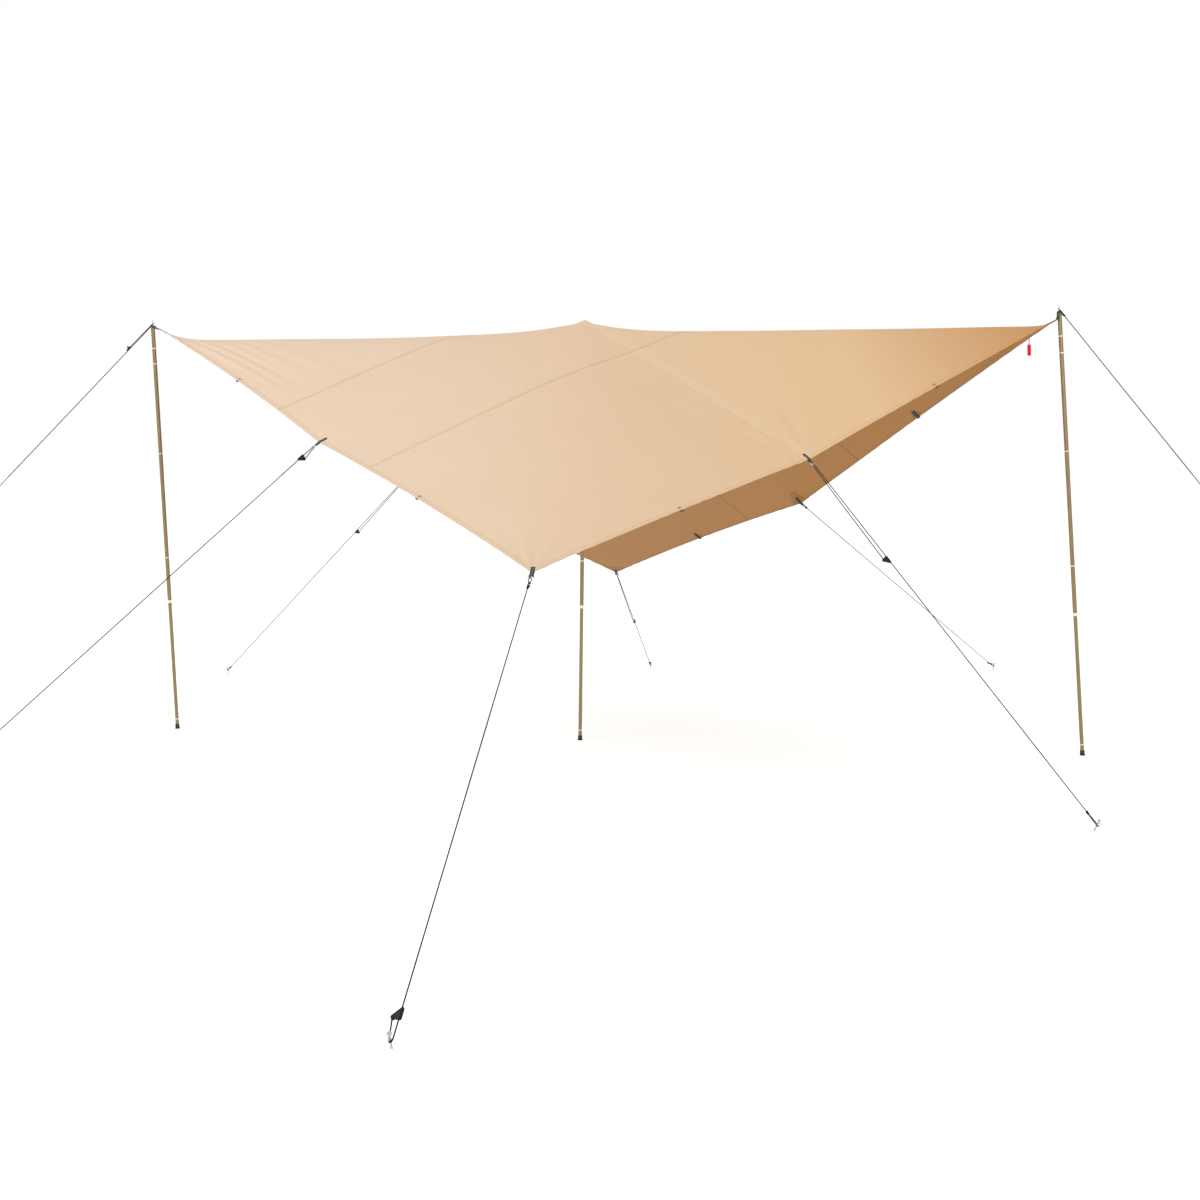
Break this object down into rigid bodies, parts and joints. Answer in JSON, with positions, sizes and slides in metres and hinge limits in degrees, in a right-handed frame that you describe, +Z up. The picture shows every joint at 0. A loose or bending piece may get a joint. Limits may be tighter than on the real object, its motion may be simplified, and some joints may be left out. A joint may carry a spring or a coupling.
{
  "type": "tarp shelter",
  "caption": "Square canvas tarp pitched on telescopic poles with its ridge along the diagonal, pulled down by guy lines with sliding tensioners to ground stakes.",
  "frame": {"origin": "on the ground under the centre pole, at the middle of its foot", "axes": "+Z up, +X along the ridge to the right-hand pole, -Y to the open front, where the lowest front corner is"},
  "size_m": [8.694, 8.0752, 2.8291],
  "materials": {
    "canvas": "woven, matt",
    "canvas_reinforcement": "woven, matt",
    "webbing": "woven webbing",
    "ring_steel": "satin",
    "bronze_tube": "bronze anodised",
    "bright_trim": "bright turned",
    "tip_cap": "matt",
    "foot_rubber": "matt",
    "lock_plastic": "matt",
    "spike_steel": "plated",
    "guy_line": "braided cord",
    "tensioner_metal": "black anodised",
    "stake_steel": "forged",
    "carabiner_metal": "dark anodised",
    "tag_fabric": "woven label"
  },
  "bodies": {
    "pitched_tarp": {"carabiner_body": "carabiner_metal", "centre_middle_tube": "bronze_tube", "centre_silver_rings": "bright_trim", "centre_tip_cap": "tip_cap", "centre_upper_tube": "bronze_tube", "ground_stakes": "stake_steel", "guy_line_back": "guy_line", "guy_line_back_left": "guy_line", "guy_line_back_right": "guy_line", "guy_line_front": "guy_line", "guy_line_front_left": "guy_line", "guy_line_front_right": "guy_line", "guy_line_left": "guy_line", "guy_line_right": "guy_line", "hanging_straps": "webbing", "left_middle_tube": "bronze_tube", "left_silver_rings": "bright_trim", "left_spike_strap": "webbing", "left_tip_cap": "tip_cap", "left_tip_spike": "spike_steel", "left_upper_tube": "bronze_tube", "peak_patch": "canvas_reinforcement", "right_middle_tube": "bronze_tube", "right_silver_rings": "bright_trim", "right_spike_strap": "webbing", "right_tip_cap": "tip_cap", "right_tip_spike": "spike_steel", "right_upper_tube": "bronze_tube", "spare_loops": "webbing", "tarp_centre_band": "canvas", "tarp_front_panel": "canvas", "tarp_middle_panel": "canvas", "tarp_rear_panel": "canvas", "tie_point_patches": "canvas_reinforcement", "tie_rings": "ring_steel"},
    "left_lock": {"left_lock_sleeve": "lock_plastic"},
    "left_lower_pole": {"left_lower_tube": "bronze_tube", "left_lock_spindle": "lock_plastic", "left_foot_ring": "bright_trim", "left_foot": "foot_rubber"},
    "centre_lock": {"centre_lock_sleeve": "lock_plastic"},
    "centre_lower_pole": {"centre_lower_tube": "bronze_tube", "centre_lock_spindle": "lock_plastic", "centre_foot_ring": "bright_trim", "centre_foot": "foot_rubber"},
    "right_lock": {"right_lock_sleeve": "lock_plastic"},
    "right_lower_pole": {"right_lower_tube": "bronze_tube", "right_lock_spindle": "lock_plastic", "right_foot_ring": "bright_trim", "right_foot": "foot_rubber"},
    "tensioner_left": {"tensioner_left": "tensioner_metal"},
    "tensioner_front_left": {"tensioner_front_left": "tensioner_metal"},
    "tensioner_front": {"tensioner_front": "tensioner_metal"},
    "tensioner_front_right": {"tensioner_front_right": "tensioner_metal"},
    "tensioner_right": {"tensioner_right": "tensioner_metal"},
    "tensioner_back_right": {"tensioner_back_right": "tensioner_metal"},
    "tensioner_back": {"tensioner_back": "tensioner_metal"},
    "tensioner_back_left": {"tensioner_back_left": "tensioner_metal"},
    "carabiner_gate": {"carabiner_gate": "carabiner_metal"},
    "care_tag": {"care_tag": "tag_fabric"}
  },
  "joints": [
    {"name": "left_pole_slide", "type": "slide", "parent": "pitched_tarp", "child": "left_lock", "axis": [-0.0553, -0.0198, 0.9983], "range_m": [0, 0.55]},
    {"name": "left_pole_twist", "type": "hinge", "parent": "left_lock", "child": "left_lower_pole", "pos_m": [-2.665, 0.1, 0], "axis": [-0.0553, -0.0198, 0.9983], "range_deg": [0, 90]},
    {"name": "centre_pole_slide", "type": "slide", "parent": "pitched_tarp", "child": "centre_lock", "axis": [0.0107, 0.0092, 0.9999], "range_m": [0, 0.55]},
    {"name": "centre_pole_twist", "type": "hinge", "parent": "centre_lock", "child": "centre_lower_pole", "pos_m": [0, 0, 0], "axis": [0.0107, 0.0092, 0.9999], "range_deg": [0, 90]},
    {"name": "right_pole_slide", "type": "slide", "parent": "pitched_tarp", "child": "right_lock", "axis": [-0.0485, 0.008, 0.9988], "range_m": [0, 0.55]},
    {"name": "right_pole_twist", "type": "hinge", "parent": "right_lock", "child": "right_lower_pole", "pos_m": [3.011, -0.134, 0], "axis": [-0.0485, 0.008, 0.9988], "range_deg": [0, 90]},
    {"name": "tensioner_left_slide", "type": "slide", "parent": "pitched_tarp", "child": "tensioner_left", "axis": [0.4044, 0.5608, 0.7225], "range_m": [-0.15, 0.12], "deforming": ["guy_line_left"]},
    {"name": "tensioner_front_left_slide", "type": "slide", "parent": "pitched_tarp", "child": "tensioner_front_left", "axis": [0.5104, 0.5873, 0.6282], "range_m": [-0.3, 0.01], "deforming": ["guy_line_front_left"]},
    {"name": "tensioner_front_slide", "type": "slide", "parent": "pitched_tarp", "child": "tensioner_front", "axis": [-0.022, -0.8791, -0.4761], "range_m": [-0.4, 0.03], "deforming": ["guy_line_front"]},
    {"name": "tensioner_front_right_slide", "type": "slide", "parent": "pitched_tarp", "child": "tensioner_front_right", "axis": [-0.561, 0.357, 0.7469], "range_m": [-0.3, 0.4], "deforming": ["guy_line_front_right"]},
    {"name": "tensioner_right_slide", "type": "slide", "parent": "pitched_tarp", "child": "tensioner_right", "axis": [0.4432, -0.4728, -0.7616], "range_m": [-0.4, 0.05], "deforming": ["guy_line_right"]},
    {"name": "tensioner_back_right_slide", "type": "slide", "parent": "pitched_tarp", "child": "tensioner_back_right", "axis": [0.4948, 0.7638, -0.4145], "range_m": [-0.4, 0.03], "deforming": ["guy_line_back_right"]},
    {"name": "tensioner_back_slide", "type": "slide", "parent": "pitched_tarp", "child": "tensioner_back", "axis": [-0.1391, -0.7649, 0.6289], "range_m": [-0.3, 0.4], "deforming": ["guy_line_back"]},
    {"name": "tensioner_back_left_slide", "type": "slide", "parent": "pitched_tarp", "child": "tensioner_back_left", "axis": [0.6526, -0.5193, 0.5517], "range_m": [-0.3, 0.4], "deforming": ["guy_line_back_left"]},
    {"name": "carabiner_gate_hinge", "type": "hinge", "parent": "pitched_tarp", "child": "carabiner_gate", "pos_m": [0.0868, -2.458, 1.18925], "axis": [-0.8111, 0.2961, -0.5044], "range_deg": [0, 22], "stiffness_Nm_per_rad": 0.02, "springref_deg": -11.46},
    {"name": "care_tag_swing", "type": "hinge", "parent": "pitched_tarp", "child": "care_tag", "pos_m": [2.68246, -0.24456, 2.4742], "axis": [0.8436, 0.537, 0], "range_deg": [-40, 40]}
  ]
}
